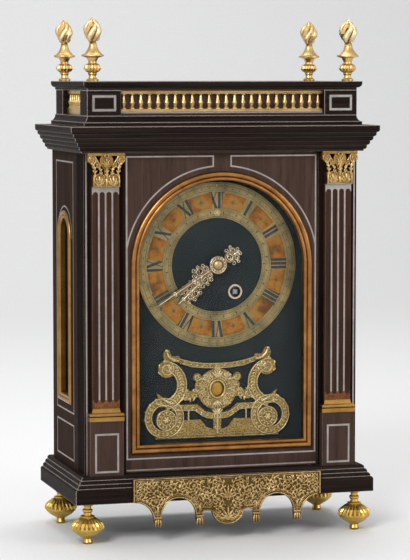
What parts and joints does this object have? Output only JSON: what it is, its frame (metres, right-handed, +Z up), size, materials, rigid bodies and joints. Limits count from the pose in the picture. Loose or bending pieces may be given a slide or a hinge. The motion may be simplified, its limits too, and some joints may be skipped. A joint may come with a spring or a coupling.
{
  "type": "religieuse clock",
  "caption": "Ebony architectural table clock with pewter stringing, gilt mounts, a pivoted glazed door, a velvet dial and a spring-driven pendulum movement.",
  "frame": {"origin": "on the floor under the middle of the clock's outer box", "axes": "+Z up, -Y out of the dial towards the viewer, +X to the viewer's right"},
  "size_m": [0.325, 0.167, 0.53],
  "materials": {
    "ebony": "glossy",
    "oak": "satin",
    "gilt_bronze": "satin",
    "pewter": "satin",
    "copper": "satin",
    "glass": "glossy",
    "velvet": "matte",
    "brass": "satin",
    "steel": "satin"
  },
  "bodies": {
    "case": {"plinth": "ebony", "feet": "gilt_bronze", "apron_mount": "gilt_bronze", "left_post": "ebony", "right_post": "ebony", "left_side_panel": "ebony", "right_side_panel": "ebony", "left_window_frame": "gilt_bronze", "right_window_frame": "gilt_bronze", "window_glasses": "glass", "side_stringing": "pewter", "pedestals": "ebony", "pilaster_bases": "gilt_bronze", "left_pilaster_shaft": "ebony", "right_pilaster_shaft": "ebony", "pilaster_collars": "pewter", "pilaster_bands": "copper", "left_capital": "gilt_bronze", "right_capital": "gilt_bronze", "front_stringing": "pewter", "cornice": "ebony", "attic_base": "ebony", "attic_dies": "ebony", "attic_core": "oak", "attic_cap": "ebony", "front_balustrade": "gilt_bronze", "left_balustrade": "gilt_bronze", "right_balustrade": "gilt_bronze", "finials": "gilt_bronze", "hinge_pins": "steel", "dial_plate": "velvet", "chapter_ring": "brass", "chapter_cartouches": "copper", "dial_ornament": "gilt_bronze", "winding_grommet": "pewter", "front_plate": "brass", "back_plate": "brass", "plate_pillars": "brass", "suspension_cock": "brass"},
    "front_door": {"door_frame": "ebony", "door_stringing": "pewter", "door_bezel": "gilt_bronze", "door_glass": "glass"},
    "rear_door": {"back_door": "oak", "back_door_knob": "brass"},
    "minute_group": {"cannon_pinion": "steel", "minute_hand": "brass", "hand_collet": "brass"},
    "motion_group": {"minute_wheel": "brass"},
    "hour_group": {"hour_wheel": "brass", "hour_hand": "brass"},
    "escape_group": {"escape_wheel": "brass"},
    "third_group": {"third_wheel": "brass"},
    "centre_group": {"centre_wheel": "brass"},
    "barrel_group": {"barrel": "brass", "mainspring": "steel"},
    "winding_group": {"winding_arbor": "steel"},
    "click_group": {"click": "steel"},
    "pendulum_group": {"pendulum": "brass"},
    "anchor_group": {"anchor": "steel"}
  },
  "joints": [
    {"name": "front_door_hinge", "type": "hinge", "parent": "case", "child": "front_door", "pos_m": [0.0958, -0.0583, 0.07], "axis": [0, 0, 1], "range_deg": [0, 95]},
    {"name": "back_door_hinge", "type": "hinge", "parent": "case", "child": "rear_door", "pos_m": [0.1258, 0.0693, 0.07], "axis": [0, 0, -1], "range_deg": [0, 90]},
    {"name": "minute_hand_turn", "type": "hinge", "parent": "case", "child": "minute_group", "pos_m": [0, 0, 0.2785], "axis": [0, 1, 0], "continuous": true},
    {"name": "minute_wheel_turn", "type": "hinge", "parent": "case", "child": "motion_group", "pos_m": [-0.01505, 0, 0.2785], "axis": [0, 1, 0], "continuous": true},
    {"name": "hour_hand_turn", "type": "hinge", "parent": "case", "child": "hour_group", "pos_m": [0, 0, 0.2785], "axis": [0, 1, 0], "continuous": true},
    {"name": "escape_wheel_turn", "type": "hinge", "parent": "case", "child": "escape_group", "pos_m": [0, 0, 0.31313], "axis": [0, 1, 0], "continuous": true},
    {"name": "third_wheel_turn", "type": "hinge", "parent": "case", "child": "third_group", "pos_m": [-0.014, 0, 0.30023], "axis": [0, 1, 0], "continuous": true},
    {"name": "centre_wheel_turn", "type": "hinge", "parent": "case", "child": "centre_group", "pos_m": [0, 0, 0.2785], "axis": [0, 1, 0], "continuous": true},
    {"name": "barrel_turn", "type": "hinge", "parent": "case", "child": "barrel_group", "pos_m": [0.0195, 0, 0.2502], "axis": [0, 1, 0], "continuous": true},
    {"name": "winding_arbor_turn", "type": "hinge", "parent": "case", "child": "winding_group", "pos_m": [0.0195, 0, 0.2502], "axis": [0, 1, 0], "continuous": true},
    {"name": "click_lift", "type": "hinge", "parent": "case", "child": "click_group", "pos_m": [0.031, 0, 0.24101], "axis": [0, 1, 0], "range_deg": [0, 12]},
    {"name": "pendulum_swing", "type": "hinge", "parent": "case", "child": "pendulum_group", "pos_m": [0, 0.022, 0.33113], "axis": [0, 1, 0], "range_deg": [-3, 3]},
    {"name": "anchor_rock", "type": "hinge", "parent": "case", "child": "anchor_group", "pos_m": [0, 0, 0.33113], "axis": [0, 1, 0], "range_deg": [-3, 3]}
  ],
  "couplings": [
    {"joint": "minute_wheel_turn", "follows": "minute_hand_turn", "ratio": -0.33333},
    {"joint": "hour_hand_turn", "follows": "minute_hand_turn", "ratio": 0.083333},
    {"joint": "third_wheel_turn", "follows": "escape_wheel_turn", "ratio": -0.085714},
    {"joint": "centre_wheel_turn", "follows": "escape_wheel_turn", "ratio": 0.0064286},
    {"joint": "barrel_turn", "follows": "escape_wheel_turn", "ratio": -0.00064286},
    {"joint": "anchor_rock", "follows": "pendulum_swing", "ratio": 1}
  ]
}
